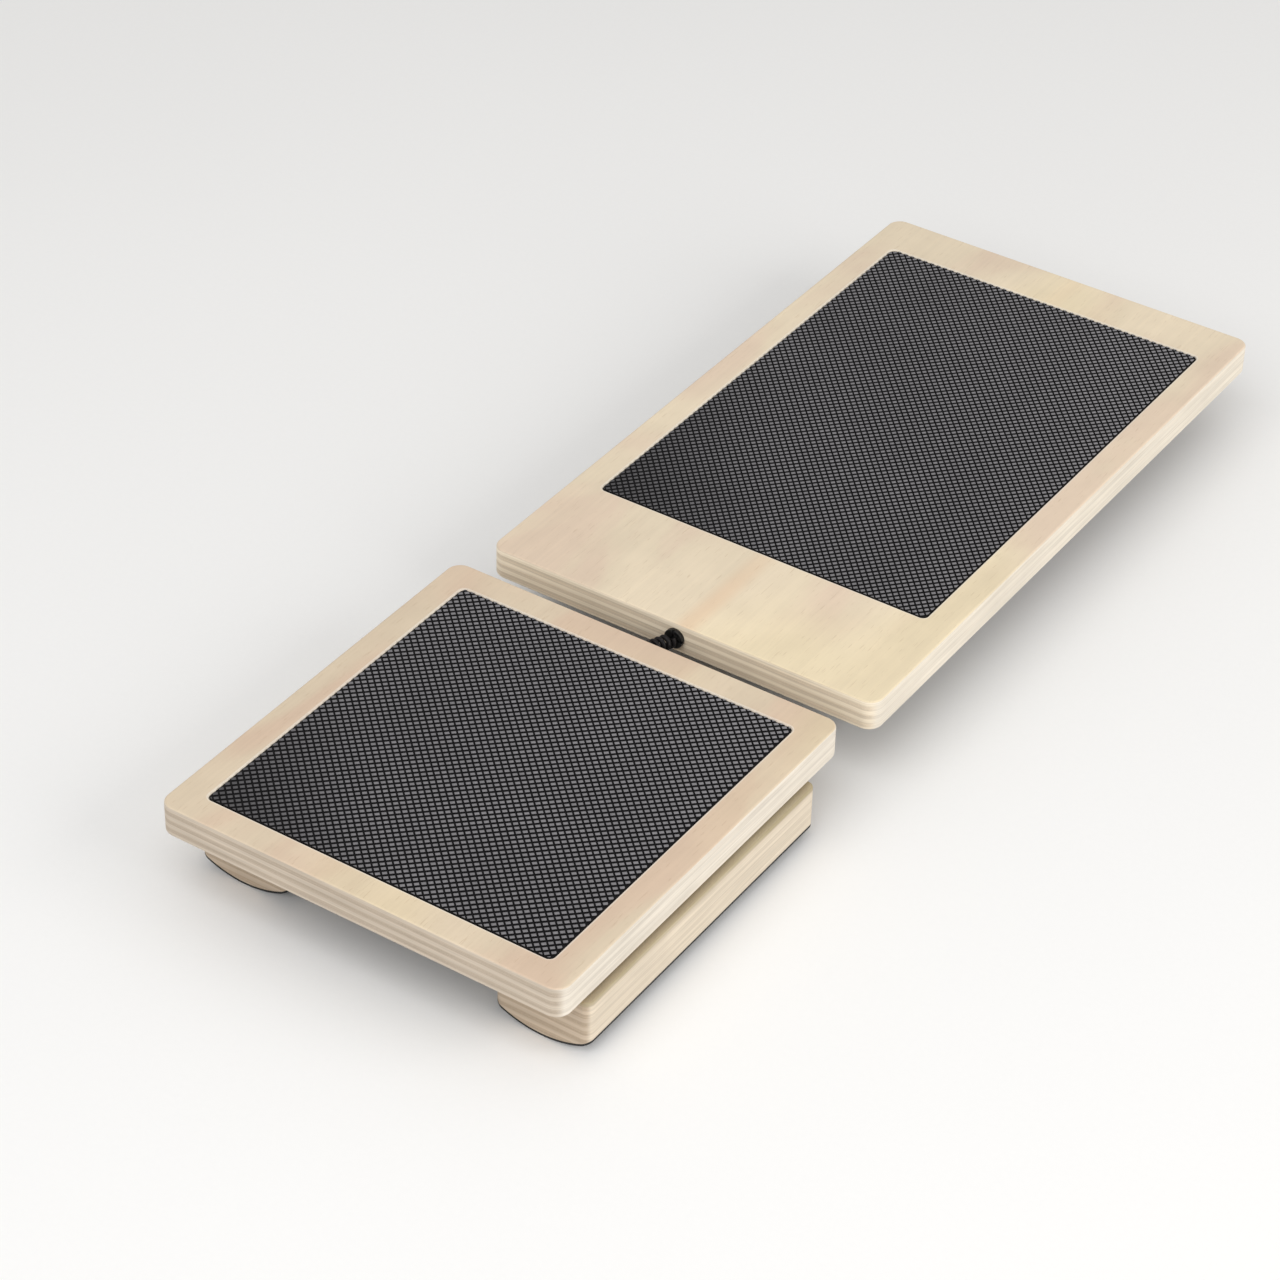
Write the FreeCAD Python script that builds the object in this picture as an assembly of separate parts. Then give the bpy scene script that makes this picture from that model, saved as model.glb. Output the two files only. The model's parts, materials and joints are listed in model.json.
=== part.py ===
"""Two-part slant and rocker board for foot and ankle training, in millimetres.

A heel plate and a forefoot plate of plywood lie end to end and are joined by a short coil
spring. Each plate stands on slats with a rounded underside, held by hook-and-loop.

X runs across the board, Y from heel to forefoot and Z up. The origin is at the middle of the
board's length and width, on the floor.
"""

import FreeCAD, Part
import math
import os

from FreeCAD import Vector

# Plates
PLATE_WIDTH = 160.0
PLATE_THICKNESS = 12.0
PLATE_CORNER = 5.5
PLATE_EDGE_ROUND = 0.9
HEEL_LENGTH = 165.0
FOREFOOT_LENGTH = 282.0
PLATE_GAP = 14.0
SIDE_SHIFT = 4.5  # the forefoot plate lies this far to the right of the heel plate

# Grip pads, each in a shallow pocket
PAD_WIDTH = 137.0
PAD_CORNER = 2.2
HEEL_PAD_LENGTH = 142.0
HEEL_PAD_START = 11.0
FOREFOOT_PAD_LENGTH = 207.5
FOREFOOT_PAD_START = 52.5
POCKET_DEPTH = 1.5
POCKET_CHAMFER = 0.4
PAD_PROUD = 0.2
PAD_SIDE_GAP = 0.25

# Hook-and-loop: the loop side under the plates, the hook side on the slats
LOOP_THICKNESS = 0.8
LOOP_MARGIN = 5.0
LOOP_CORNER = 5.0
HOOK_THICKNESS = 0.75
HOOK_MARGIN = 4.0
HOOK_CORNER = 1.5
HOOK_LOOP_GAP = 0.05

# Slats
SLAT_WIDTH = 36.5
SLAT_SIDE_HEIGHT = 16.0
SLAT_RADIUS = 35.5
SLAT_CORNER = 3.0
SLAT_TOP_ROUND = 0.8
SOLE_THICKNESS = 0.8
HEEL_SLAT_LENGTH = 134.0
RIGHT_SLAT_START = 12.8
RIGHT_SLAT_OVERHANG = 1.8
LEFT_SLAT_START = 16.0
LEFT_SLAT_INSET = 3.4
FOREFOOT_SLAT_LENGTH = 228.0
FOREFOOT_SLAT_START = 27.0

# Link: a coil spring between two flanged plugs, each screwed into a sleeve in a plate's edge
SOCKET_OFFSET = -0.8  # from the middle of each plate's edge
BORE_DIAMETER = 7.0
BORE_DEPTH = 20.0
SLEEVE_LENGTH = 18.0
SHANK_DIAMETER = 4.8
SHANK_LENGTH = 17.0
FLANGE_DIAMETER = 7.6
FLANGE_THICKNESS = 1.6
FLANGE_ROUND = 0.3
CROSS_SLOT_WIDTH = 1.1
CROSS_SLOT_DEPTH = 0.5
NOSE_DIAMETER = 1.4
NOSE_LENGTH = 0.9
SPRING_OUTER_DIAMETER = 6.0
SPRING_WIRE = 1.75
SPRING_PITCH = 2.0
SPRING_MIDDLE_GAP = 1.2
SPRING_END_GAP = 0.4

# Heights, from the floor up
SLAT_SAG = SLAT_RADIUS - math.sqrt(SLAT_RADIUS**2 - (SLAT_WIDTH / 2) ** 2)
SLAT_TOP_Z = SOLE_THICKNESS + SLAT_SAG + SLAT_SIDE_HEIGHT
LOOP_BOTTOM_Z = SLAT_TOP_Z + HOOK_THICKNESS + HOOK_LOOP_GAP
PLATE_BOTTOM_Z = LOOP_BOTTOM_Z + LOOP_THICKNESS
PLATE_TOP_Z = PLATE_BOTTOM_Z + PLATE_THICKNESS
LINK_Z = PLATE_BOTTOM_Z + PLATE_THICKNESS / 2

# Places in X and Y
TOTAL_LENGTH = HEEL_LENGTH + PLATE_GAP + FOREFOOT_LENGTH
HEEL_X = -SIDE_SHIFT / 2
FOREFOOT_X = SIDE_SHIFT / 2
HEEL_SOCKET_X = HEEL_X + SOCKET_OFFSET
FOREFOOT_SOCKET_X = FOREFOOT_X + SOCKET_OFFSET
HEEL_START_Y = -TOTAL_LENGTH / 2
HEEL_END_Y = HEEL_START_Y + HEEL_LENGTH
FOREFOOT_START_Y = HEEL_END_Y + PLATE_GAP
LINK_Y = HEEL_END_Y + PLATE_GAP / 2
SPRING_REACH = PLATE_GAP / 2 - FLANGE_THICKNESS


def rounded_block(width, length, height, corner, centre_x, start_y, bottom_z):
    """A block with round vertical edges, centred on centre_x, from start_y towards +Y."""
    x0, x1 = centre_x - width / 2, centre_x + width / 2
    y0, y1 = start_y, start_y + length
    k = corner * (1 - math.sqrt(0.5))

    def point(x, y):
        return Vector(x, y, bottom_z)

    edges = [
        Part.LineSegment(point(x0 + corner, y0), point(x1 - corner, y0)),
        Part.Arc(point(x1 - corner, y0), point(x1 - k, y0 + k), point(x1, y0 + corner)),
        Part.LineSegment(point(x1, y0 + corner), point(x1, y1 - corner)),
        Part.Arc(point(x1, y1 - corner), point(x1 - k, y1 - k), point(x1 - corner, y1)),
        Part.LineSegment(point(x1 - corner, y1), point(x0 + corner, y1)),
        Part.Arc(point(x0 + corner, y1), point(x0 + k, y1 - k), point(x0, y1 - corner)),
        Part.LineSegment(point(x0, y1 - corner), point(x0, y0 + corner)),
        Part.Arc(point(x0, y0 + corner), point(x0 + k, y0 + k), point(x0 + corner, y0)),
    ]
    outline = Part.Wire([edge.toShape() for edge in edges])
    return Part.Face(outline).extrude(Vector(0, 0, height))


def flat_edges_at(shape, *heights):
    """The edges of a shape that lie wholly at one of the given heights."""
    found = []
    for edge in shape.Edges:
        box = edge.BoundBox
        if any(abs(box.ZMin - z) < 1e-6 and abs(box.ZMax - z) < 1e-6 for z in heights):
            found.append(edge)
    return found


def plate(length, centre_x, start_y, pad_length, pad_start, bore_y, bore_direction):
    """A plywood plate with round edges, a pad pocket in its top and a hole in one end."""
    pocket_side = centre_x - PAD_WIDTH / 2
    body = rounded_block(
        PLATE_WIDTH, length, PLATE_THICKNESS, PLATE_CORNER, centre_x, start_y, PLATE_BOTTOM_Z
    )
    body = body.makeFillet(PLATE_EDGE_ROUND, flat_edges_at(body, PLATE_BOTTOM_Z, PLATE_TOP_Z))
    pocket = rounded_block(
        PAD_WIDTH, pad_length, 2 * POCKET_DEPTH, PAD_CORNER,
        centre_x, start_y + pad_start, PLATE_TOP_Z - POCKET_DEPTH,
    )
    body = body.cut(pocket)
    rim = [
        edge for edge in flat_edges_at(body, PLATE_TOP_Z) if edge.BoundBox.XMin > pocket_side - 1
        and edge.BoundBox.XMax < pocket_side + PAD_WIDTH + 1
        and edge.BoundBox.YMin > start_y + pad_start - 1
        and edge.BoundBox.YMax < start_y + pad_start + pad_length + 1
    ]
    body = body.makeChamfer(POCKET_CHAMFER, rim)
    mouth = Vector(centre_x + SOCKET_OFFSET, bore_y, LINK_Z)
    return body.cut(
        Part.makeCylinder(BORE_DIAMETER / 2, BORE_DEPTH, mouth, Vector(0, bore_direction, 0))
    )


def grip_pad(length, centre_x, start_y):
    """A flat pad that fills its pocket and stands just proud of the plate."""
    return rounded_block(
        PAD_WIDTH - 2 * PAD_SIDE_GAP, length - 2 * PAD_SIDE_GAP, POCKET_DEPTH + PAD_PROUD,
        PAD_CORNER - PAD_SIDE_GAP, centre_x, start_y + PAD_SIDE_GAP, PLATE_TOP_Z - POCKET_DEPTH,
    )


def loop_panel(length, centre_x, start_y):
    """The sheet of loop fabric glued under a plate."""
    return rounded_block(
        PLATE_WIDTH - 2 * LOOP_MARGIN, length - 2 * LOOP_MARGIN, LOOP_THICKNESS,
        LOOP_CORNER, centre_x, start_y + LOOP_MARGIN, LOOP_BOTTOM_Z,
    )


def arc_section(centre_x, y, radius, top_z, centre_z):
    """A face in the XZ plane: flat top, upright sides, and an arc below, about centre_z."""
    half = SLAT_WIDTH / 2
    side_z = centre_z - math.sqrt(radius**2 - half**2)
    left_top = Vector(centre_x - half, y, top_z)
    right_top = Vector(centre_x + half, y, top_z)
    left_low = Vector(centre_x - half, y, side_z)
    right_low = Vector(centre_x + half, y, side_z)
    lowest = Vector(centre_x, y, centre_z - radius)
    edges = [
        Part.LineSegment(left_low, left_top),
        Part.LineSegment(left_top, right_top),
        Part.LineSegment(right_top, right_low),
        Part.Arc(right_low, lowest, left_low),
    ]
    return Part.Face(Part.Wire([edge.toShape() for edge in edges]))


def slat(length, centre_x, start_y):
    """The wooden slat, the hook strip on its top and the rubber sole under it."""
    arc_z = SOLE_THICKNESS + SLAT_RADIUS
    along = Vector(0, length, 0)
    footprint = rounded_block(
        SLAT_WIDTH, length, PLATE_BOTTOM_Z, SLAT_CORNER, centre_x, start_y, -SOLE_THICKNESS
    )
    wood_bar = arc_section(centre_x, start_y, SLAT_RADIUS, SLAT_TOP_Z, arc_z).extrude(along)
    sole_bar = arc_section(
        centre_x, start_y, SLAT_RADIUS + SOLE_THICKNESS, SLAT_TOP_Z, arc_z
    ).extrude(along)
    sole = sole_bar.cut(wood_bar).common(footprint)
    wood = wood_bar.common(footprint)
    wood = wood.makeFillet(SLAT_TOP_ROUND, flat_edges_at(wood, SLAT_TOP_Z))
    hook = rounded_block(
        SLAT_WIDTH - 2 * HOOK_MARGIN, length - 2 * HOOK_MARGIN, HOOK_THICKNESS,
        HOOK_CORNER, centre_x, start_y + HOOK_MARGIN, SLAT_TOP_Z,
    )
    return wood, hook, sole


def sleeve(centre_x, face_y, direction):
    """A threaded metal sleeve, flush with the plate's end and open right through."""
    start = Vector(centre_x, face_y, LINK_Z)
    along = Vector(0, direction, 0)
    outside = Part.makeCylinder(BORE_DIAMETER / 2, SLEEVE_LENGTH, start, along)
    inside = Part.makeCylinder(SHANK_DIAMETER / 2, SLEEVE_LENGTH, start, along)
    return outside.cut(inside)


def link_plug(centre_x, face_y, direction):
    """A plug with its shank in the sleeve, a cross-slotted flange and a nose for the spring."""
    along = Vector(0, direction, 0)
    flange_y = face_y - direction * FLANGE_THICKNESS
    shank = Part.makeCylinder(
        SHANK_DIAMETER / 2, SHANK_LENGTH, Vector(centre_x, face_y, LINK_Z), along
    )
    flange_centre = Vector(centre_x, flange_y, LINK_Z)
    flange = Part.makeCylinder(FLANGE_DIAMETER / 2, FLANGE_THICKNESS, flange_centre, along)
    outer_rim = [
        edge for edge in flange.Edges
        if abs(edge.BoundBox.YMin - flange_y) < 1e-6 and abs(edge.BoundBox.YMax - flange_y) < 1e-6
    ]
    flange = flange.makeFillet(FLANGE_ROUND, outer_rim)
    for width, height in (
        (FLANGE_DIAMETER, CROSS_SLOT_WIDTH), (CROSS_SLOT_WIDTH, FLANGE_DIAMETER)
    ):
        slot = Part.makeBox(width, 2 * CROSS_SLOT_DEPTH, height)
        corner = flange_centre - Vector(width / 2, CROSS_SLOT_DEPTH, height / 2)
        slot.translate(corner)
        flange = flange.cut(slot)
    nose_length = NOSE_LENGTH + CROSS_SLOT_DEPTH
    nose = Part.makeCylinder(
        NOSE_DIAMETER / 2, nose_length, flange_centre + along * CROSS_SLOT_DEPTH, along * -1
    )
    return shank.fuse([flange, nose]).removeSplitter()


def spring_half(start_y, end_y):
    """A stretch of the coil spring whose wire reaches from start_y to end_y.

    The plates stand side by side with a shift, so each turn lies a little further right.
    """
    coil_radius = (SPRING_OUTER_DIAMETER - SPRING_WIRE) / 2
    rise = end_y - start_y - SPRING_WIRE
    helix = Part.makeHelix(SPRING_PITCH, rise, coil_radius)
    section = Part.Wire(
        Part.makeCircle(SPRING_WIRE / 2, Vector(coil_radius, 0, 0), Vector(0, 1, 0))
    )
    coil = Part.Wire(helix.Edges).makePipeShell([section], True, True)
    coil.rotate(Vector(0, 0, 0), Vector(1, 0, 0), -90)
    coil.translate(Vector(0, start_y + SPRING_WIRE / 2 - LINK_Y, LINK_Z))
    slant = FreeCAD.Matrix()
    slant.A12 = SIDE_SHIFT / (2 * SPRING_REACH)
    coil = coil.transformGeometry(slant)
    coil.translate(Vector((HEEL_SOCKET_X + FOREFOOT_SOCKET_X) / 2, LINK_Y, 0))
    return coil


def main():
    right_slat_x = HEEL_X + PLATE_WIDTH / 2 + RIGHT_SLAT_OVERHANG - SLAT_WIDTH / 2
    left_slat_x = HEEL_X - PLATE_WIDTH / 2 + LEFT_SLAT_INSET + SLAT_WIDTH / 2
    forefoot_slat_y = FOREFOOT_START_Y + FOREFOOT_SLAT_START

    nodes = {
        "heel_plate": plate(
            HEEL_LENGTH, HEEL_X, HEEL_START_Y, HEEL_PAD_LENGTH, HEEL_PAD_START, HEEL_END_Y, -1
        ),
        "heel_grip_pad": grip_pad(HEEL_PAD_LENGTH, HEEL_X, HEEL_START_Y + HEEL_PAD_START),
        "heel_loop_panel": loop_panel(HEEL_LENGTH, HEEL_X, HEEL_START_Y),
        "heel_insert": sleeve(HEEL_SOCKET_X, HEEL_END_Y, -1),
        "heel_link_plug": link_plug(HEEL_SOCKET_X, HEEL_END_Y, -1),
        "link_spring_rear": spring_half(
            LINK_Y - SPRING_REACH + SPRING_END_GAP, LINK_Y - SPRING_MIDDLE_GAP / 2
        ),
        "link_spring_front": spring_half(
            LINK_Y + SPRING_MIDDLE_GAP / 2, LINK_Y + SPRING_REACH - SPRING_END_GAP
        ),
        "forefoot_plate": plate(
            FOREFOOT_LENGTH, FOREFOOT_X, FOREFOOT_START_Y,
            FOREFOOT_PAD_LENGTH, FOREFOOT_PAD_START, FOREFOOT_START_Y, 1,
        ),
        "forefoot_grip_pad": grip_pad(
            FOREFOOT_PAD_LENGTH, FOREFOOT_X, FOREFOOT_START_Y + FOREFOOT_PAD_START
        ),
        "forefoot_loop_panel": loop_panel(FOREFOOT_LENGTH, FOREFOOT_X, FOREFOOT_START_Y),
        "forefoot_insert": sleeve(FOREFOOT_SOCKET_X, FOREFOOT_START_Y, 1),
        "forefoot_link_plug": link_plug(FOREFOOT_SOCKET_X, FOREFOOT_START_Y, 1),
    }
    slats = {
        "heel_right": slat(
            HEEL_SLAT_LENGTH, right_slat_x, HEEL_START_Y + RIGHT_SLAT_START
        ),
        "heel_left": slat(HEEL_SLAT_LENGTH, left_slat_x, HEEL_START_Y + LEFT_SLAT_START),
        "forefoot": slat(FOREFOOT_SLAT_LENGTH, FOREFOOT_X, forefoot_slat_y),
    }
    for place, (wood, hook, sole) in slats.items():
        nodes[place + "_slat"] = wood
        nodes[place + "_hook_strip"] = hook
        nodes[place + "_sole"] = sole

    os.makedirs("parts", exist_ok=True)
    for name, shape in nodes.items():
        box = shape.BoundBox
        print(
            f"{name}: solids {len(shape.Solids)}, valid {shape.isValid()}, "
            f"volume {shape.Volume:.1f}, x {box.XMin:.2f}..{box.XMax:.2f}, "
            f"y {box.YMin:.2f}..{box.YMax:.2f}, z {box.ZMin:.2f}..{box.ZMax:.2f}"
        )
        shape.exportStep(f"parts/{name}.step")


main()
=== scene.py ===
"""Looks of the two-part slant and rocker board: plywood, grip knobs, fabric, soles, spring, light.

Every length is in metres. MM turns a length in millimetres into metres.
"""

import json
import math

import bmesh
import bpy
from mathutils import Matrix, Vector, noise
from mathutils.geometry import delaunay_2d_cdt


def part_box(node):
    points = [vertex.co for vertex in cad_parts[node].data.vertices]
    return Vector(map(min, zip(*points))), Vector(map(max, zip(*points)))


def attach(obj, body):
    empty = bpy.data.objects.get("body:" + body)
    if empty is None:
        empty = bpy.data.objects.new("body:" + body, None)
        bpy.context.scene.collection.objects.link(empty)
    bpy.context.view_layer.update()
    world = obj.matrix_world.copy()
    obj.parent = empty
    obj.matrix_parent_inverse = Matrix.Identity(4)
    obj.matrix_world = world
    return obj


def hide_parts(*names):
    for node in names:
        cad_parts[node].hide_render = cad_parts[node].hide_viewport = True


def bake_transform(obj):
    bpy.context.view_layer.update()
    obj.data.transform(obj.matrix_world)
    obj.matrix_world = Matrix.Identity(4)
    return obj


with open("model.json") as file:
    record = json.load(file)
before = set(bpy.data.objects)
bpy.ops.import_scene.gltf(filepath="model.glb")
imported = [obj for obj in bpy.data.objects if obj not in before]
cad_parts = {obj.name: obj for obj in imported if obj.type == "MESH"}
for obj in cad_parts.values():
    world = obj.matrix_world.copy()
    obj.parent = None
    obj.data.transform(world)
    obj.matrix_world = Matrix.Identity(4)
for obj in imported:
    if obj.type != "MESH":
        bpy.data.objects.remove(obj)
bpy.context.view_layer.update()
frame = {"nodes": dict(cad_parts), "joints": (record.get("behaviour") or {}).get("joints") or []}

MM = 0.001
NODES = frame["nodes"]
JOINTS = {joint["name"]: joint for joint in frame["joints"]}

# Grip knobs: low bars along one diagonal, in rows that mesh. The forefoot pad is cut from the
# same mat as the heel pad, but turned by a quarter.
KNOB_PITCH = {"heel": (3.28 * MM, 3.15 * MM), "forefoot": (3.01 * MM, 3.29 * MM)}
KNOB_SHARE = (0.85, 0.64)
KNOB_DEPTH = 0.6 * MM
KNOB_PROFILE = ((0.9, 0.45), (0.82, 0.87), (0.62, 1.0))
PAD_CORNER = 1.95 * MM
# The knob tops are painted this lighter grey as a painted highlight; GROOVE is the rubber's own
# near black.
KNOB_TOP_HIGHLIGHT = (0.202, 0.197, 0.207)
GROOVE = (0.006, 0.0055, 0.0065)

# Studs stay clear of the slab's border. One cut to less than this share of its plan is left out.
STUD_BORDER = 0.12 * MM
STUD_SMALLEST = 0.08

# Hook tape: the same kind of skin with smaller, closer studs
HOOK_PITCH = (1.5 * MM, 1.5 * MM)
HOOK_SHARE = (0.62, 0.62)
HOOK_DEPTH = 0.42 * MM
HOOK_PROFILE = ((0.6, 0.35), (0.6, 0.7), (1.0, 0.85), (0.7, 1.0))
HOOK_CORNER = 1.5 * MM

# Loop panels
LOOP_CORNER = 5.0 * MM
LOOP_STEP = 1.1 * MM
LOOP_PILE = 0.28 * MM
TUFTS_PER_METRE = 1400
WAVES_PER_METRE = 160

# Soles, bent round the slats' undersides
SLAT_RADIUS = 35.5 * MM
SOLE_THICKNESS = 0.8 * MM
SOLE_CORNER = 3.0 * MM
SOLE_STEP = 1.25 * MM
SOLE_KNURL = 0.25 * MM

# Link spring
SPRING_WIRE = 1.75 * MM
SPRING_RADIUS = 2.125 * MM
SPRING_PITCH = 2.0 * MM
SPRING_END_GAP = 0.4 * MM
SPRING_STEPS_PER_TURN = 30
SPRING_SIDES = 14

# Plywood. The plies wander a little, up or down. A pair gives where a tint starts to fade and
# where it ends.
PLATE_PLY = 12.0 * MM / 7
SLAT_PLY = 1.75 * MM
PLY_WAVE = 0.5 * MM
POCKET_CORNER = 2.2 * MM
POCKET_GAP = 0.25 * MM
# Painted highlight along the pocket's rim: full up to the first distance outside, gone at the
# second.
RIM_HIGHLIGHT_BAND = (0.5 * MM, 1.0 * MM)
STREAK_WANDER = 4 * MM
STREAK_HALF_WIDTH = (0.5 * MM, 6.5 * MM)
STREAK_FADE = (20 * MM, 75 * MM)
YELLOWED = (1.0, 1.0, 0.92)
PORE = (0.42, 0.27, 0.15)
HEARTWOOD = (0.78, 0.52, 0.33)
# The next colour is that of the painted highlight along the pocket's rim.
RIM_HIGHLIGHT = (0.94, 0.9, 0.83)
END_GRAIN_TINT = (0.83, 0.8, 0.77)
GLUE = (0.4, 0.29, 0.18)
# The band below the slats' top edge is painted shade under the plates' overhang and a glue stain:
# its colour, and where it starts and ends below the edge.
STAIN_AND_SHADE = (0.4, 0.33, 0.2)
STAIN_SHADE_STARTS = (-0.05 * MM, 0.1 * MM)
STAIN_SHADE_ENDS = (0.8 * MM, 2.0 * MM)

# How far the middle of the first dark ply lies below the top
HEEL_DARK_DEPTH = 1.5 * PLATE_PLY
FOREFOOT_DARK_DEPTH = HEEL_DARK_DEPTH + 0.4 * MM
SLAT_DARK_DEPTH = 2.1 * MM

# Stage. The floor lies just below the soles, so that the two faces don't flicker.
FLOOR_HALF = 6.0
FLOOR_DROP = 0.1 * MM

# The camera looks at a point near the link, from this far and at the photograph's angle.
LOOK_AT = (-3.3 * MM, -66.7 * MM)
CAMERA_DISTANCE = 1.3
CAMERA_AZIMUTH = math.radians(32.99)
CAMERA_ELEVATION = math.radians(36.93)
CAMERA_ROLL = math.radians(1.51)
CAMERA_LENS = 106.1
CAMERA_SENSOR = 36.0


# Materials


class Graph:
    """The nodes of one material, made and linked by short calls."""

    def __init__(self, name, roughness=0.5, metallic=0.0, specular=0.5):
        self.material = bpy.data.materials.new(name)
        self.material.use_nodes = True
        self.tree = self.material.node_tree
        self.tree.nodes.clear()
        self.shader = self.tree.nodes.new("ShaderNodeBsdfPrincipled")
        self.shader.inputs["Roughness"].default_value = roughness
        self.shader.inputs["Metallic"].default_value = metallic
        self.shader.inputs["Specular IOR Level"].default_value = specular
        output = self.tree.nodes.new("ShaderNodeOutputMaterial")
        self.tree.links.new(self.shader.outputs[0], output.inputs[0])
        coordinates = self.tree.nodes.new("ShaderNodeTexCoord")
        self.place = coordinates.outputs["Object"]
        self.facing = coordinates.outputs["Normal"]

    def feed(self, socket, value):
        if isinstance(value, bpy.types.NodeSocket):
            self.tree.links.new(value, socket)
        else:
            socket.default_value = value

    def math(self, operation, a, b=0.0, c=0.0):
        node = self.tree.nodes.new("ShaderNodeMath")
        node.operation = operation
        for socket, value in zip(node.inputs, (a, b, c)):
            self.feed(socket, value)
        return node.outputs[0]

    def parts(self, vector):
        node = self.tree.nodes.new("ShaderNodeSeparateXYZ")
        self.feed(node.inputs[0], vector)
        return node.outputs

    def scaled(self, x, y, z, shift=(0.0, 0.0, 0.0)):
        """The object's coordinates times a number on each axis, so that a pattern stretches."""
        node = self.tree.nodes.new("ShaderNodeMapping")
        self.feed(node.inputs["Vector"], self.place)
        node.inputs["Scale"].default_value = (x, y, z)
        node.inputs["Location"].default_value = shift
        return node.outputs[0]

    def noise(self, place, scale=1.0, detail=3.0, distortion=0.0):
        node = self.tree.nodes.new("ShaderNodeTexNoise")
        self.feed(node.inputs["Vector"], place)
        node.inputs["Scale"].default_value = scale
        node.inputs["Detail"].default_value = detail
        node.inputs["Distortion"].default_value = distortion
        return node.outputs[0]

    def cell_walls(self, place):
        """How far a point is from the nearest wall of a cell pattern."""
        node = self.tree.nodes.new("ShaderNodeTexVoronoi")
        node.feature = "DISTANCE_TO_EDGE"
        self.feed(node.inputs["Vector"], place)
        node.inputs["Scale"].default_value = 1.0
        return node.outputs["Distance"]

    def between(self, value, low, high, to_low=0.0, to_high=1.0):
        """A smooth step of value from low to high, given as to_low to to_high."""
        node = self.tree.nodes.new("ShaderNodeMapRange")
        node.interpolation_type = "SMOOTHSTEP"
        for name, number in (
            ("Value", value), ("From Min", low), ("From Max", high),
            ("To Min", to_low), ("To Max", to_high),
        ):
            self.feed(node.inputs[name], number)
        return node.outputs[0]

    def mix(self, share, a, b, blend="MIX"):
        """Colour a turned into colour b by share; with MULTIPLY, b darkens a."""
        node = self.tree.nodes.new("ShaderNodeMix")
        node.data_type = "RGBA"
        node.blend_type = blend
        self.feed(node.inputs[0], share)
        self.feed(node.inputs[6], a if isinstance(a, bpy.types.NodeSocket) else (*a, 1.0))
        self.feed(node.inputs[7], b if isinstance(b, bpy.types.NodeSocket) else (*b, 1.0))
        return node.outputs[2]

    def shade(self, colour, value, low, high):
        """colour times a grey that runs from low to high as value goes from 0 to 1."""
        node = self.tree.nodes.new("ShaderNodeMapRange")
        self.feed(node.inputs["Value"], value)
        node.inputs["To Min"].default_value = low
        node.inputs["To Max"].default_value = high
        return self.mix(1.0, colour, node.outputs[0], "MULTIPLY")

    def outside_of(self, box, corner, gap):
        """How far a point lies, in plan, outside a box with round corners, widened by a gap."""
        low, high = box
        middle, half = (low + high) / 2, (high - low) / 2
        reach_x, reach_y = half.x + gap - corner, half.y + gap - corner
        x, y, _ = self.parts(self.place)
        past_x = self.math("ABSOLUTE", self.math("SUBTRACT", x, middle.x))
        past_y = self.math("ABSOLUTE", self.math("SUBTRACT", y, middle.y))
        past_x = self.math("MAXIMUM", self.math("SUBTRACT", past_x, reach_x), 0.0)
        past_y = self.math("MAXIMUM", self.math("SUBTRACT", past_y, reach_y), 0.0)
        square_x, square_y = self.math("POWER", past_x, 2.0), self.math("POWER", past_y, 2.0)
        past = self.math("SQRT", self.math("ADD", square_x, square_y))
        return self.math("SUBTRACT", past, corner)

    def bump(self, height, depth, strength):
        node = self.tree.nodes.new("ShaderNodeBump")
        node.inputs["Strength"].default_value = strength
        node.inputs["Distance"].default_value = depth
        self.feed(node.inputs["Height"], height)
        return node.outputs[0]

    def finish(self, colour, roughness=None, normal=None, **settings):
        self.feed(self.shader.inputs["Base Color"], colour)
        if roughness is not None:
            self.feed(self.shader.inputs["Roughness"], roughness)
        if normal is not None:
            self.feed(self.shader.inputs["Normal"], normal)
        for name, value in settings.items():
            self.shader.inputs[name.replace("_", " ")].default_value = value
        return self.material


def veneer(g, shift, face, blush):
    """The colour of plywood's faces, with its clouds, grain and pores, which others use too."""
    cloud = g.noise(g.scaled(26, 11, 26, shift), detail=3, distortion=0.6)
    wide_cloud = g.noise(g.scaled(9, 5, 9, shift), detail=2)
    grain = g.noise(g.scaled(900, 14, 900, shift), detail=4, distortion=0.25)
    figure = g.noise(g.scaled(120, 7, 120, shift), detail=3, distortion=0.8)
    pores = g.between(g.noise(g.scaled(2600, 160, 2600, shift), detail=1), 0.66, 0.74)
    colour = g.mix(g.between(cloud, 0.43, 0.6), face, blush)
    yellow = [channel * tint for channel, tint in zip(face, YELLOWED)]
    colour = g.mix(g.math("MULTIPLY", g.between(wide_cloud, 0.48, 0.62), 0.9), colour, yellow)
    colour = g.shade(colour, g.between(wide_cloud, 0.35, 0.65), 0.95, 1.055)
    colour = g.shade(colour, g.between(cloud, 0.35, 0.65), 1.05, 0.95)
    colour = g.shade(colour, figure, 0.955, 1.045)
    colour = g.shade(colour, grain, 0.94, 1.06)
    colour = g.mix(g.math("MULTIPLY", pores, 0.22), colour, PORE)
    return colour, cloud, grain, pores


def heartwood(g, colour, cloud, streak):
    """A darker streak that starts at the X and Y of streak, runs along Y and fades out."""
    x, y, _ = g.parts(g.place)
    wander = g.math("MULTIPLY_ADD", cloud, STREAK_WANDER, streak[0] - STREAK_WANDER / 2)
    from_middle = g.math("ABSOLUTE", g.math("SUBTRACT", x, wander))
    across = g.between(from_middle, STREAK_HALF_WIDTH[0], STREAK_HALF_WIDTH[1], 1.0, 0.0)
    along = g.between(y, streak[1] + STREAK_FADE[0], streak[1] + STREAK_FADE[1], 1.0, 0.25)
    share = g.math("MULTIPLY", g.math("MULTIPLY", across, along), 0.42)
    return g.mix(share, colour, HEARTWOOD)


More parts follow.
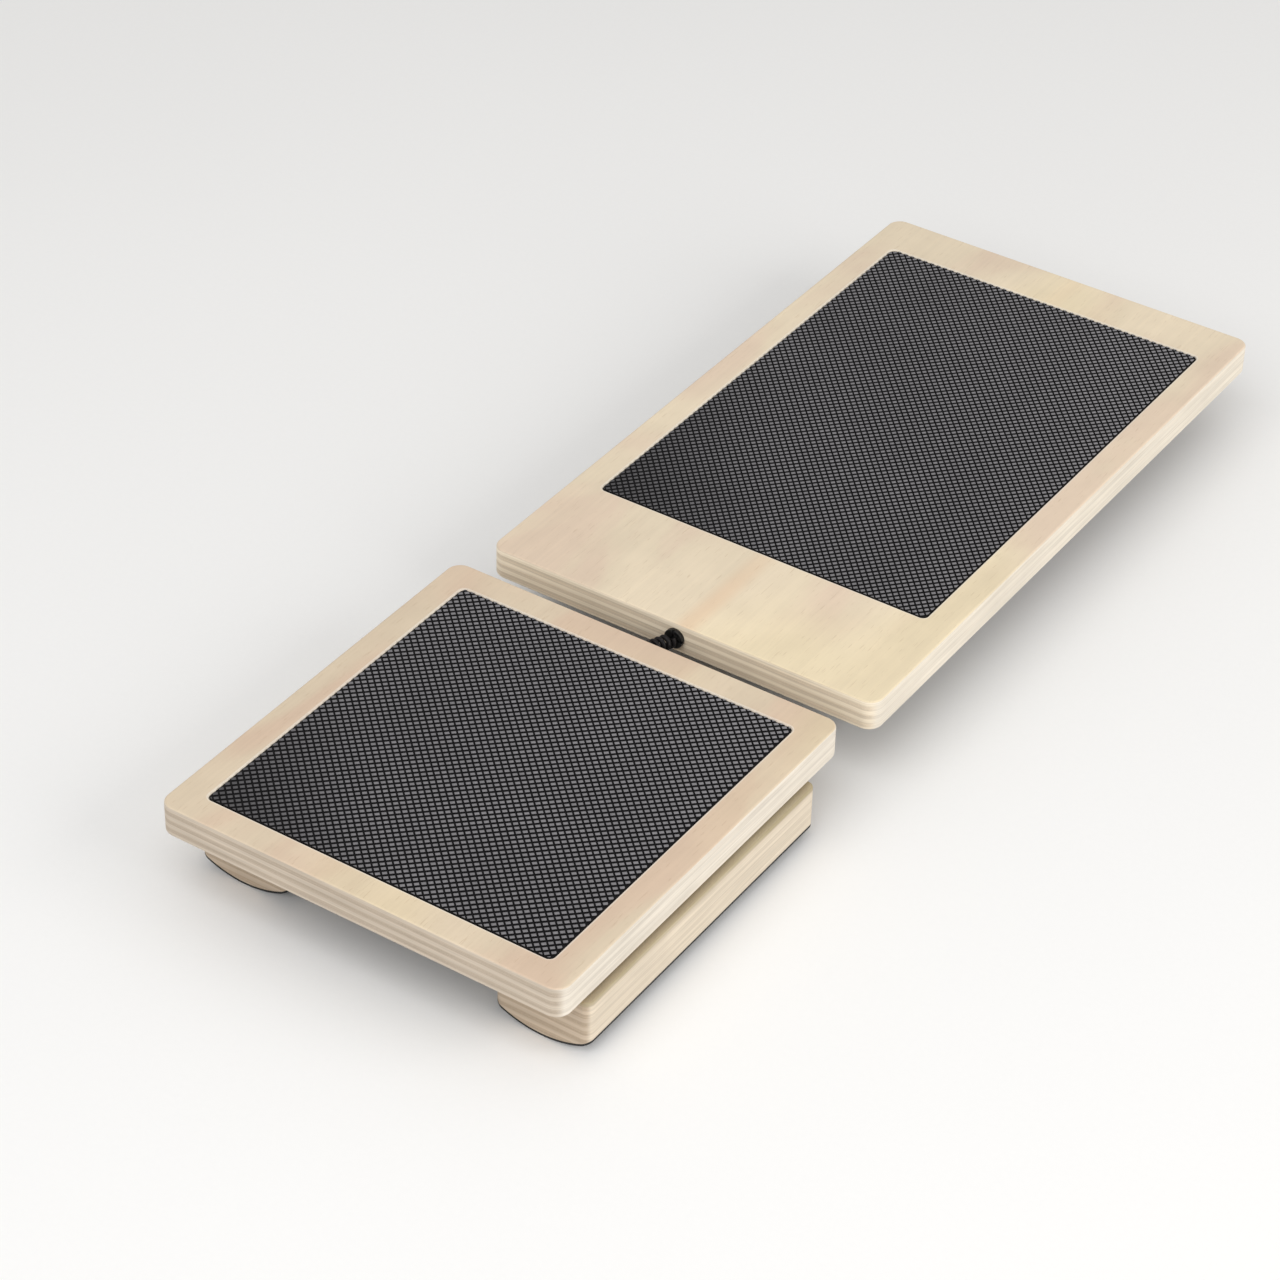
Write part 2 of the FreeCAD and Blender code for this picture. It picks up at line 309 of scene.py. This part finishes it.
def painted_rim_highlight(g, colour, pocket):
    """A painted highlight along the rim round the pocket of a pad, whose box is pocket."""
    outside = g.outside_of(pocket, POCKET_CORNER, POCKET_GAP)
    rim = g.between(outside, RIM_HIGHLIGHT_BAND[0], RIM_HIGHLIGHT_BAND[1], 1.0, 0.0)
    return g.mix(g.math("MULTIPLY", rim, 0.4), colour, RIM_HIGHLIGHT)


def plies(g, shift, ply, first_dark_z, edge, painted_end_light):
    """The colour of plywood's edges: plies in turn dark and light, with glue lines between.

    The ends, which face along Y, get painted light and shade.
    """
    _, _, z = g.parts(g.place)
    facing_x, facing_y, _ = (g.math("ABSOLUTE", n) for n in g.parts(g.facing))
    wave = g.math("MULTIPLY_ADD", g.noise(g.scaled(34, 34, 8, shift), detail=2), PLY_WAVE, z)
    first_glue_z = first_dark_z + PLY_WAVE / 2 - ply / 2
    count = g.math("DIVIDE", g.math("SUBTRACT", wave, first_glue_z), 2 * ply)
    turn = g.math("FRACT", count)
    dark_ply = g.math(
        "MULTIPLY", g.between(turn, 0.0, 0.07), g.between(turn, 0.43, 0.5, 1.0, 0.0)
    )
    glue_turn = g.math("FRACT", g.math("MULTIPLY_ADD", count, 2.0, 0.5))
    from_glue = g.math("ABSOLUTE", g.math("SUBTRACT", glue_turn, 0.5))
    glue = g.between(from_glue, 0.03, 0.09, 1.0, 0.0)
    streaks = g.noise(g.scaled(22, 22, 1900, shift), detail=4, distortion=0.3)
    speckle = g.noise(g.scaled(2400, 2400, 2400, shift), detail=2)
    patches = g.noise(g.scaled(45, 45, 420, shift), detail=2)
    colour = g.shade(edge, g.between(streaks, 0.3, 0.7), 0.9, 1.08)
    colour = g.shade(colour, patches, 0.9, 1.09)
    # Painted light and shade: faces towards Y are multiplied by the end tone.
    colour = g.mix(g.between(facing_y, 0.4, 0.9), colour, painted_end_light, "MULTIPLY")
    end_grain = g.shade(g.mix(1.0, colour, END_GRAIN_TINT, "MULTIPLY"), speckle, 0.82, 1.14)
    strength = g.between(facing_x, 0.5, 0.9, 1.0, 0.3)
    colour = g.mix(g.math("MULTIPLY", dark_ply, strength), colour, end_grain)
    glue_share = g.math("MULTIPLY", glue, g.math("MULTIPLY", strength, 0.35))
    return g.mix(glue_share, colour, GLUE), speckle


def stain_and_painted_shade(g, colour, shift, top_z):
    """Below a top edge at height top_z: painted shade under the plate, and a glue stain."""
    _, _, z = g.parts(g.place)
    below = g.math("SUBTRACT", top_z, z)
    line = g.math(
        "MULTIPLY", g.between(below, STAIN_SHADE_STARTS[0], STAIN_SHADE_STARTS[1]),
        g.between(below, STAIN_SHADE_ENDS[0], STAIN_SHADE_ENDS[1], 1.0, 0.0),
    )
    uneven = g.between(g.noise(g.scaled(30, 30, 30, shift)), 0.35, 0.65, 0.65, 0.95)
    return g.mix(g.math("MULTIPLY", line, uneven), colour, STAIN_AND_SHADE)


def plywood(
    name, ply, first_dark_z, face, edge, blush, seed, painted_end_light,
    streak=None, pocket=None, stain_shade_edge_z=None,
):
    """Birch plywood: long fine grain on the faces, plies in turn dark and light on the edges.

    first_dark_z is the middle height of any dark ply. face, edge and blush are colours, and
    painted_end_light multiplies the ends, which face along Y, as painted shade where it is below
    one and painted light where it is above one. streak is where a streak of heartwood starts,
    pocket is the box of the pad, whose rim gets a painted highlight, and stain_shade_edge_z is
    the height of a top edge below which a glue stain and painted shade run.
    """
    g = Graph(name, roughness=0.5, specular=0.35)
    shift = (seed, 2.3 * seed, 0.7 * seed)
    colour, cloud, grain, pores = veneer(g, shift, face, blush)
    if streak:
        colour = heartwood(g, colour, cloud, streak)
    if pocket:
        colour = painted_rim_highlight(g, colour, pocket)
    edge_colour, speckle = plies(g, shift, ply, first_dark_z, edge, painted_end_light)
    on_face = g.between(g.math("ABSOLUTE", g.parts(g.facing)[2]), 0.45, 0.8)
    colour = g.mix(on_face, edge_colour, colour)
    colour = g.shade(colour, g.noise(g.place, 55, detail=5), 0.92, 1.08)
    # Painted shade under the plate's overhang, with a glue stain, below the top edge.
    if stain_shade_edge_z:
        colour = stain_and_painted_shade(g, colour, shift, stain_shade_edge_z)

    rough_edge = g.math("MULTIPLY_ADD", speckle, 0.2, 0.52)
    rough_face = g.math("MULTIPLY_ADD", grain, 0.22, 0.36)
    roughness = g.math(
        "ADD", g.math("MULTIPLY", on_face, rough_face),
        g.math("MULTIPLY", g.math("SUBTRACT", 1.0, on_face), rough_edge),
    )
    relief = g.math("ADD", g.math("MULTIPLY", grain, on_face), g.math("MULTIPLY", speckle, 0.6))
    relief = g.math("SUBTRACT", relief, g.math("MULTIPLY", pores, on_face))
    return g.finish(colour, roughness, g.bump(relief, 0.05 * MM, 0.5))


def grip_rubber(name, low, high):
    """Moulded rubber: near black in the grooves, knob tops painted grey as a highlight.

    low and high are the pad's corners. A painted sheen on the knob tops is weakest at the near
    left corner and grows towards the far right.
    """
    g = Graph(name, specular=0.2)
    x, y, z = g.parts(g.place)
    height = g.between(z, high.z - KNOB_DEPTH * 0.4, high.z - KNOB_DEPTH * 0.02)
    dust = g.noise(g.place, 420, detail=4)
    blotches = g.noise(g.scaled(30, 22, 30), detail=3, distortion=0.5)
    fine = g.noise(g.place, 5200, detail=2)
    # Painted sheen: the knob tops grow brighter from the near left corner towards the far right.
    across = g.math("DIVIDE", g.math("SUBTRACT", x, low.x), high.x - low.x)
    along = g.math("DIVIDE", g.math("SUBTRACT", y, low.y), high.y - low.y)
    distance = g.math("ADD", across, along)
    sheen_ramp = g.between(distance, -0.1, 0.65, 0.36, 1.0)
    wear_and_sheen = g.math("MULTIPLY", sheen_ramp, g.between(distance, 0.8, 2.0, 1.0, 1.2))
    top = g.shade(KNOB_TOP_HIGHLIGHT, dust, 0.66, 1.32)
    top = g.shade(top, blotches, 0.85, 1.16)
    top = g.mix(1.0, top, wear_and_sheen, "MULTIPLY")
    low_part = g.shade(GROOVE, dust, 0.5, 1.6)
    # Painted highlight: the knob tops, picked out by height, turn grey.
    colour = g.mix(height, low_part, top)
    colour = g.shade(colour, fine, 0.85, 1.15)
    roughness = g.math("MULTIPLY_ADD", dust, 0.22, 0.5)
    normal = g.bump(fine, 0.02 * MM, 0.6)
    return g.finish(colour, roughness, normal)


def loop_fabric():
    """Brushed loop pile: a tangle of fine black threads with a soft sheen."""
    g = Graph("loop_pile", roughness=0.9, specular=0.2)
    tangle = g.cell_walls(g.scaled(900, 620, 900))
    threads = g.noise(g.scaled(2600, 900, 2600), detail=3, distortion=2.2)
    lint = g.between(g.noise(g.place, 240, detail=5), 0.62, 0.75)
    patches = g.noise(g.place, 40, detail=3)
    colour = g.mix(threads, (0.014, 0.011, 0.01), (0.056, 0.05, 0.047))
    colour = g.shade(colour, patches, 0.7, 1.3)
    colour = g.mix(g.math("MULTIPLY", lint, 0.3), colour, (0.16, 0.155, 0.15))
    relief = g.math("ADD", g.math("MULTIPLY", tangle, 2.0), threads)
    normal = g.bump(relief, 0.25 * MM, 0.9)
    roughness = g.math("MULTIPLY_ADD", threads, 0.15, 0.8)
    return g.finish(colour, roughness, normal, Sheen_Weight=0.15, Sheen_Roughness=0.4)


def hook_tape():
    """Black nylon tape: a woven ground with glossier moulded hooks."""
    g = Graph("hook_nylon", specular=0.5)
    x, y, _ = g.parts(g.place)
    warp = g.math("SINE", g.math("MULTIPLY", x, math.tau / (0.5 * MM)))
    weft = g.math("SINE", g.math("MULTIPLY", y, math.tau / (0.42 * MM)))
    weave = g.math("MULTIPLY", warp, weft)
    fibres = g.noise(g.scaled(3000, 700, 3000), detail=3)
    dirt = g.between(g.noise(g.place, 130, detail=4), 0.58, 0.75)
    colour = g.mix(fibres, (0.012, 0.012, 0.013), (0.04, 0.04, 0.043))
    colour = g.shade(colour, weave, 0.85, 1.1)
    colour = g.mix(g.math("MULTIPLY", dirt, 0.25), colour, (0.12, 0.11, 0.1))
    roughness = g.math("MULTIPLY_ADD", fibres, 0.25, 0.35)
    normal = g.bump(g.math("ADD", weave, fibres), 0.06 * MM, 0.7)
    return g.finish(colour, roughness, normal)


def sole_rubber():
    """Black rubber, scuffed grey where it touches the floor, which is at height 0."""
    g = Graph("sole_rubber_worn", specular=0.4)
    _, _, z = g.parts(g.place)
    low = g.between(z, 0.0, 1.6 * MM, 1.0, 0.0)
    scuffs = g.between(g.noise(g.scaled(90, 420, 90), detail=5, distortion=0.7), 0.5, 0.72)
    grit = g.noise(g.place, 1900, detail=3)
    patches = g.noise(g.place, 60, detail=3)
    colour = g.mix(grit, (0.011, 0.011, 0.011), (0.032, 0.031, 0.03))
    colour = g.shade(colour, patches, 0.75, 1.3)
    wear_and_sheen = g.math("MULTIPLY", g.math("MULTIPLY", scuffs, low), 0.3)
    colour = g.mix(wear_and_sheen, colour, (0.13, 0.125, 0.115))
    roughness = g.math("MULTIPLY_ADD", grit, 0.25, 0.6)
    return g.finish(colour, roughness, g.bump(grit, 0.05 * MM, 0.7))


def turned_brass():
    """Brass with fine turning marks round the sleeve's axis and some dull patches."""
    g = Graph("turned_brass", roughness=0.3, metallic=1.0)
    marks = g.noise(g.scaled(40, 5200, 40), detail=2)
    dull = g.between(g.noise(g.place, 320, detail=5), 0.45, 0.7)
    colour = g.mix(dull, (0.78, 0.6, 0.3), (0.45, 0.33, 0.17))
    colour = g.shade(colour, marks, 0.88, 1.1)
    roughness = g.math("MULTIPLY_ADD", dull, 0.3, 0.22)
    return g.finish(colour, roughness, g.bump(marks, 0.02 * MM, 0.6))


def moulded_plug():
    """Black moulded plastic with a slight orange peel and rubbed, greyer patches."""
    g = Graph("moulded_black", specular=0.35)
    peel = g.noise(g.place, 1500, detail=3)
    rubbed = g.between(g.noise(g.place, 620, detail=4), 0.52, 0.72)
    colour = g.mix(rubbed, (0.008, 0.008, 0.008), (0.03, 0.03, 0.03))
    roughness = g.math("MULTIPLY_ADD", rubbed, 0.25, 0.32)
    return g.finish(colour, roughness, g.bump(peel, 0.04 * MM, 0.5))


def coated_wire():
    """Black coated steel wire, rubbed through to dull metal in small spots."""
    g = Graph("coated_wire", specular=0.2)
    drawn = g.noise(g.place, 2300, detail=3)
    spots = g.between(g.noise(g.place, 900, detail=5), 0.62, 0.7)
    colour = g.mix(drawn, (0.005, 0.004, 0.0045), (0.013, 0.011, 0.012))
    colour = g.mix(g.math("MULTIPLY", spots, 0.3), colour, (0.08, 0.07, 0.065))
    roughness = g.math("MULTIPLY_ADD", drawn, 0.25, 0.42)
    normal = g.bump(drawn, 0.02 * MM, 0.5)
    return g.finish(colour, roughness, normal, Coat_Weight=0.08, Coat_Roughness=0.3)


def pale_floor():
    g = Graph("pale_floor", roughness=0.8, specular=0.2)
    clouds = g.noise(g.place, 3.0, detail=3)
    speckle = g.noise(g.place, 500, detail=3)
    colour = g.shade((0.93, 0.93, 0.93), clouds, 0.985, 1.015)
    colour = g.shade(colour, speckle, 0.99, 1.01)
    return g.finish(colour, normal=g.bump(speckle, 0.05 * MM, 0.2))


# Meshes


def new_piece(name, points, faces, material, smooth_angle=0.6):
    """A closed mesh piece with its faces turned outwards."""
    mesh = bpy.data.meshes.new(name)
    mesh.from_pydata([tuple(p) for p in points], [], faces)
    shaped = bmesh.new()
    shaped.from_mesh(mesh)
    bmesh.ops.recalc_face_normals(shaped, faces=shaped.faces)
    shaped.to_mesh(mesh)
    shaped.free()
    mesh.materials.append(material)
    mesh.shade_smooth()
    mesh.set_sharp_from_angle(angle=smooth_angle)
    piece = bpy.data.objects.new(name, mesh)
    bpy.context.scene.collection.objects.link(piece)
    return piece


def rounded_outline(low, high, corner, steps=6):
    """Points round a rectangle with round corners, counter-clockwise, in the XY plane."""
    centres = (
        (high.x - corner, high.y - corner), (low.x + corner, high.y - corner),
        (low.x + corner, low.y + corner), (high.x - corner, low.y + corner),
    )
    points = []
    for quarter, centre in enumerate(centres):
        for step in range(steps + 1):
            angle = (quarter + step / steps) * math.pi / 2
            points.append(Vector(centre) + corner * Vector((math.cos(angle), math.sin(angle))))
    return points


def clipped(polygon, outline):
    """The part of a convex polygon that lies inside a convex outline."""
    for start, end in zip(outline, outline[1:] + outline[:1]):
        sides = [(end - start).cross(p - start) for p in polygon]
        kept = []
        for i, point in enumerate(polygon):
            following = (i + 1) % len(polygon)
            if sides[i] >= 0:
                kept.append(point)
            if sides[i] * sides[following] < 0:
                share = sides[i] / (sides[i] - sides[following])
                kept.append(point.lerp(polygon[following], share))
        polygon = kept
        if len(polygon) < 3:
            return []
    return polygon


def area(polygon):
    return sum(p.cross(q) for p, q in zip(polygon, polygon[1:] + polygon[:1])) / 2


def band(lower, upper):
    """The faces between two rings of points, given by their numbers."""
    count = len(lower)
    return [
        (lower[i], lower[(i + 1) % count], upper[(i + 1) % count], upper[i]) for i in range(count)
    ]


def stud_plans(low, high, corner, pitch, share):
    """The plans of studs in rows, each second row shifted by half a pitch.

    The studs' sides lie along the two diagonals of the rows and take up share of the spacing
    there. Studs at the border are cut.
    """
    inset = Vector((STUD_BORDER, STUD_BORDER))
    outline = rounded_outline(low.xy + inset, high.xy - inset, corner - STUD_BORDER)
    rising = share[0] / 4 * Vector(pitch)
    falling = share[1] / 4 * Vector((pitch[0], -pitch[1]))
    shape = [rising + falling, rising - falling, -rising - falling, falling - rising]
    reach = max(max(abs(point.x), abs(point.y)) for point in shape)
    middle = (low.xy + high.xy) / 2
    columns = math.ceil((high.x - low.x) / pitch[0]) + 1
    rows = math.ceil((high.y - low.y) / pitch[1]) + 1
    smallest = STUD_SMALLEST * area(shape)
    plans = []
    for row in range(-rows, rows + 1):
        for column in range(-columns, columns + 1):
            if (row + column) % 2:
                continue
            centre = middle + Vector((column * pitch[0], row * pitch[1])) / 2
            from_edge = min(
                centre.x - low.x, high.x - centre.x, centre.y - low.y, high.y - centre.y
            )
            if from_edge < -reach:
                continue
            plan = [centre + point for point in shape]
            if from_edge < corner + reach:
                plan = clipped(plan, outline)
            if len(plan) > 2 and area(plan) > smallest:
                plans.append(plan)
    return plans


def studded_slab(name, low, high, corner, plans, depth, profile, material):
    """A slab with round corners whose top is one skin of grooves and raised studs.

    profile gives each stud's rings from the groove up, as (share of its plan, share of depth).
    """
    outline = rounded_outline(low.xy, high.xy, corner)
    flat_points = list(outline)
    loops = [list(range(len(outline)))]
    for plan in plans:
        loops.append(list(range(len(flat_points), len(flat_points) + len(plan))))
        flat_points += plan
    only_inside, merge_distance = 1, 1e-8
    placed, _, triangles, sources, _, owners = delaunay_2d_cdt(
        flat_points, [], loops, only_inside, merge_distance
    )
    where = {source: i for i, group in enumerate(sources) for source in group}
    groove_z = high.z - depth
    points = [Vector((p.x, p.y, groove_z)) for p in placed]
    faces = [tuple(t) for t, owner in zip(triangles, owners) if list(owner) == [0]]

    for plan, loop in zip(plans, loops[1:]):
        ring = [where[i] for i in loop]
        centre = sum(plan, Vector((0, 0))) / len(plan)
        for share, rise in profile:
            upper = range(len(points), len(points) + len(plan))
            for point in plan:
                spot = centre.lerp(point, share)
                points.append(Vector((spot.x, spot.y, groove_z + rise * depth)))
            faces += band(ring, upper)
            ring = upper
        faces.append(tuple(ring))

    rim = [where[i] for i in loops[0]]
    base = range(len(points), len(points) + len(outline))
    points += [Vector((p.x, p.y, low.z)) for p in outline]
    faces += band(rim, base)
    faces.append(tuple(base))
    return new_piece(name, points, faces, material)


def plan_columns(low, high, corner, step):
    """Lines along Y that fill a rectangle with round corners: (x, first y, last y) of each."""
    corner_steps = 5
    angles = [turn / corner_steps * math.pi / 2 for turn in range(corner_steps)]
    count = max(2, round((high.x - low.x - 2 * corner) / step))
    from_side = [corner * (1 - math.cos(angle)) for angle in angles]
    width = high.x - low.x
    inner = [corner + (width - 2 * corner) * i / count for i in range(count + 1)]
    offsets = from_side + inner + [width - s for s in reversed(from_side)]
    columns = []
    for offset in offsets:
        reach = max(0.0, corner - min(offset, width - offset))
        inset = corner - math.sqrt(max(0.0, corner**2 - reach**2))
        columns.append((low.x + offset, low.y + inset, high.y - inset))
    return columns


def closed_sheet(name, columns, step, upper, lower, material, smooth_angle=0.6):
    """A closed skin between two height functions of (x, y, row, column, at the border)."""
    rows = round(max(last - first for _, first, last in columns) / step)
    points = []
    for height in (upper, lower):
        for i, (x, first, last) in enumerate(columns):
            for j in range(rows + 1):
                y = first + (last - first) * j / rows
                border = i in (0, len(columns) - 1) or j in (0, rows)
                points.append((x, y, height(x, y, i, j, border)))
    across, along = len(columns), rows + 1
    total = across * along

    def spot(i, j, layer):
        return layer * total + i * along + j

    faces = []
    for layer in (0, 1):
        for i in range(across - 1):
            for j in range(along - 1):
                faces.append((
                    spot(i, j, layer), spot(i + 1, j, layer),
                    spot(i + 1, j + 1, layer), spot(i, j + 1, layer),
                ))
    border = [(i, 0) for i in range(across)]
    border += [(across - 1, j) for j in range(1, along)]
    border += [(i, along - 1) for i in range(across - 2, -1, -1)]
    border += [(0, j) for j in range(along - 2, 0, -1)]
    for (i, j), (k, m) in zip(border, border[1:] + border[:1]):
        faces.append((spot(i, j, 0), spot(k, m, 0), spot(k, m, 1), spot(i, j, 1)))
    return new_piece(name, points, faces, material, smooth_angle)


# Pieces


def keep_cad(node, material):
    NODES[node].material_slots[0].material = material


def grip_pad(board):
    node = board + "_grip_pad"
    low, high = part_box(node)
    plans = stud_plans(low, high, PAD_CORNER, KNOB_PITCH[board], KNOB_SHARE)
    material = grip_rubber(board + "_grip_rubber", low, high)
    pad = studded_slab(
        board + "_grip_surface", low, high, PAD_CORNER, plans, KNOB_DEPTH, KNOB_PROFILE, material
    )
    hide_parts(node)
    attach(pad, board + "_board")


def loop_panel(board, material):
    """Pile that hangs from a flat backing and is a little longer or shorter from spot to spot."""
    node = board + "_loop_panel"
    low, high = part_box(node)

    def backing(x, y, i, j, border):
        return high.z

    def pile(x, y, i, j, border):
        if border:
            return low.z + 0.6 * LOOP_PILE
        tuft = noise.noise(Vector((x, y, 0)) * TUFTS_PER_METRE)
        lay = noise.noise(Vector((x, y, 1)) * WAVES_PER_METRE)
        return low.z + LOOP_PILE * min(1.0, max(0.05, 0.5 + 0.6 * tuft + 0.25 * lay))

    panel = closed_sheet(
        board + "_loop_pile", plan_columns(low, high, LOOP_CORNER, LOOP_STEP), LOOP_STEP,
        backing, pile, material,
    )
    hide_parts(node)
    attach(panel, board + "_board")


def hook_strip(place, material):
    node = place + "_hook_strip"
    low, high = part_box(node)
    plans = stud_plans(low, high, HOOK_CORNER, HOOK_PITCH, HOOK_SHARE)
    strip = studded_slab(
        place + "_hooks", low, high, HOOK_CORNER, plans, HOOK_DEPTH, HOOK_PROFILE, material
    )
    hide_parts(node)
    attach(strip, place + "_rocker")


def sole(place, material):
    """A rubber sheet bent round the slat's underside, with a diamond knurl on its outside."""
    node = place + "_sole"
    low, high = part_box(node)
    middle = (low.x + high.x) / 2
    axis_z = low.z + SOLE_THICKNESS + SLAT_RADIUS

    def inside(x, y, i, j, border):
        return axis_z - math.sqrt(SLAT_RADIUS**2 - (x - middle) ** 2)

    def outside(x, y, i, j, border):
        raised = SOLE_KNURL if (i + j) % 2 and not border else 0.0
        return axis_z - math.sqrt((SLAT_RADIUS + SOLE_THICKNESS) ** 2 - (x - middle) ** 2) + raised

    tread = closed_sheet(
        place + "_tread", plan_columns(low, high, SOLE_CORNER, SOLE_STEP), SOLE_STEP,
        inside, outside, material, smooth_angle=0.35,
    )
    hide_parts(node)
    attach(tread, place + "_rocker")


def link_spring(material):
    """One coil spring between the flanges. Its axis slants, because the plates lie side-shifted.

    A small gap at each end lets the spring tilt without cutting into the flanges.
    """
    start = Vector(JOINTS["link_yaw"]["pos_m"])
    end = Vector(JOINTS["link_roll"]["pos_m"])
    margin = (SPRING_END_GAP + SPRING_WIRE / 2) / (end.y - start.y)
    turns = (1 - 2 * margin) * (end.y - start.y) / SPRING_PITCH
    steps = round(turns * SPRING_STEPS_PER_TURN)

    def axis(step):
        return start.lerp(end, margin + step / steps * (1 - 2 * margin))

    def centre(step):
        angle = step / steps * turns * math.tau
        return axis(step) + SPRING_RADIUS * Vector((math.cos(angle), 0, math.sin(angle)))

    points, rings = [], []
    for step in range(steps + 1):
        along = (centre(step + 0.5) - centre(step - 0.5)).normalized()
        outwards = (centre(step) - axis(step)).normalized()
        side_way = along.cross(outwards).normalized()
        outwards = side_way.cross(along)
        rings.append(range(len(points), len(points) + SPRING_SIDES))
        for side in range(SPRING_SIDES):
            turn = side / SPRING_SIDES * math.tau
            spoke = math.cos(turn) * outwards + math.sin(turn) * side_way
            points.append(centre(step) + SPRING_WIRE / 2 * spoke)
    faces = [face for lower, upper in zip(rings, rings[1:]) for face in band(lower, upper)]
    faces += [tuple(rings[0]), tuple(rings[-1])]
    spring = new_piece("link_spring", points, faces, material, smooth_angle=1.0)
    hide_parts("link_spring_rear", "link_spring_front")
    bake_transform(spring)


# Stage


def floor():
    half = FLOOR_HALF
    corners = [(-half, -half), (half, -half), (half, half), (-half, half)]
    mesh = bpy.data.meshes.new("floor")
    mesh.from_pydata([(x, y, -FLOOR_DROP) for x, y in corners], [], [(0, 1, 2, 3)])
    mesh.materials.append(pale_floor())
    ground = bpy.data.objects.new("floor", mesh)
    bpy.context.scene.collection.objects.link(ground)


def soft_light(name, place, target, size, power, colour=(1.0, 1.0, 1.0)):
    data = bpy.data.lights.new(name, "AREA")
    data.shape = "RECTANGLE"
    data.size, data.size_y = size
    data.energy = power
    data.color = colour
    light = bpy.data.objects.new(name, data)
    light.location = place
    light.rotation_euler = (Vector(target) - Vector(place)).to_track_quat("-Z", "Y").to_euler()
    bpy.context.scene.collection.objects.link(light)


def studio():
    """A white room, a large soft light at the right, one overhead and a low one in front."""
    scene = bpy.context.scene
    scene.view_settings.view_transform = "Standard"
    world = bpy.data.worlds.new("studio")
    world.use_nodes = True
    world.node_tree.nodes["Background"].inputs["Color"].default_value = (1.0, 0.99, 0.97, 1.0)
    world.node_tree.nodes["Background"].inputs["Strength"].default_value = 0.55
    scene.world = world
    middle = Vector((0, 0, 0))
    warm = (1.0, 0.985, 0.96)
    soft_light("key", (1.5, 0.1, 0.75), middle, size=(1.4, 1.0), power=11.5, colour=warm)
    soft_light("overhead", (0.05, -1.05, 1.38), middle, size=(1.6, 1.6), power=11.3)
    soft_light("front", (0.3, -1.6, 0.7), middle, size=(1.6, 0.8), power=3)


def camera(plate_top):
    """A long lens from above, in front of the heel end and to its right."""
    target = Matrix.Translation((*LOOK_AT, plate_top))
    turned = (
        Matrix.Rotation(CAMERA_AZIMUTH, 4, "Z")
        @ Matrix.Rotation(math.pi / 2 - CAMERA_ELEVATION, 4, "X")
        @ Matrix.Rotation(CAMERA_ROLL, 4, "Z")
    )
    data = bpy.data.cameras.new("camera")
    data.lens = CAMERA_LENS
    data.sensor_width = CAMERA_SENSOR
    eye = bpy.data.objects.new("camera", data)
    eye.matrix_world = target @ turned @ Matrix.Translation((0, 0, CAMERA_DISTANCE))
    bpy.context.scene.collection.objects.link(eye)
    bpy.context.scene.camera = eye


def boards():
    """Both plates with what is fixed to them."""
    top_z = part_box("heel_plate")[1].z
    keep_cad("heel_plate", plywood(
        "heel_plywood", PLATE_PLY, top_z - HEEL_DARK_DEPTH, face=(0.71, 0.59, 0.44),
        edge=(0.77, 0.705, 0.61), blush=(0.73, 0.56, 0.42), seed=1.7,
        # The heel plate's ends get painted shade.
        painted_end_light=(0.76, 0.71, 0.665), pocket=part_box("heel_grip_pad"),
    ))
    streak = (6 * MM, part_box("forefoot_plate")[0].y)
    keep_cad("forefoot_plate", plywood(
        "forefoot_plywood", PLATE_PLY, top_z - FOREFOOT_DARK_DEPTH, face=(0.807, 0.688, 0.517),
        edge=(0.8, 0.73, 0.62), blush=(0.825, 0.663, 0.512), seed=5.1,
        # The forefoot plate's ends get painted light, brighter than its sides.
        painted_end_light=(1.14, 1.095, 1.02), streak=streak, pocket=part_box("forefoot_grip_pad"),
    ))
    pile, plug, brass = loop_fabric(), moulded_plug(), turned_brass()
    for board in ("heel", "forefoot"):
        grip_pad(board)
        loop_panel(board, pile)
        keep_cad(board + "_link_plug", plug)
        keep_cad(board + "_insert", brass)


def rockers():
    """The three slats, each with its hook strip and sole."""
    top_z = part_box("heel_right_slat")[1].z
    # The slats' face and blush colours are darker than the plates': painted shade, for the ledge
    # that shows under each plate's overhang.
    wood = plywood(
        "slat_plywood", SLAT_PLY, top_z - SLAT_DARK_DEPTH, face=(0.54, 0.465, 0.325),
        edge=(0.72, 0.625, 0.498), blush=(0.52, 0.43, 0.298), seed=8.3,
        # The slats' ends get painted shade.
        painted_end_light=(0.8, 0.75, 0.715), stain_shade_edge_z=top_z,
    )
    tape, rubber = hook_tape(), sole_rubber()
    for place in ("heel_right", "heel_left", "forefoot"):
        keep_cad(place + "_slat", wood)
        hook_strip(place, tape)
        sole(place, rubber)


boards()
rockers()
link_spring(coated_wire())
floor()
studio()
camera(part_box("heel_plate")[1].z)
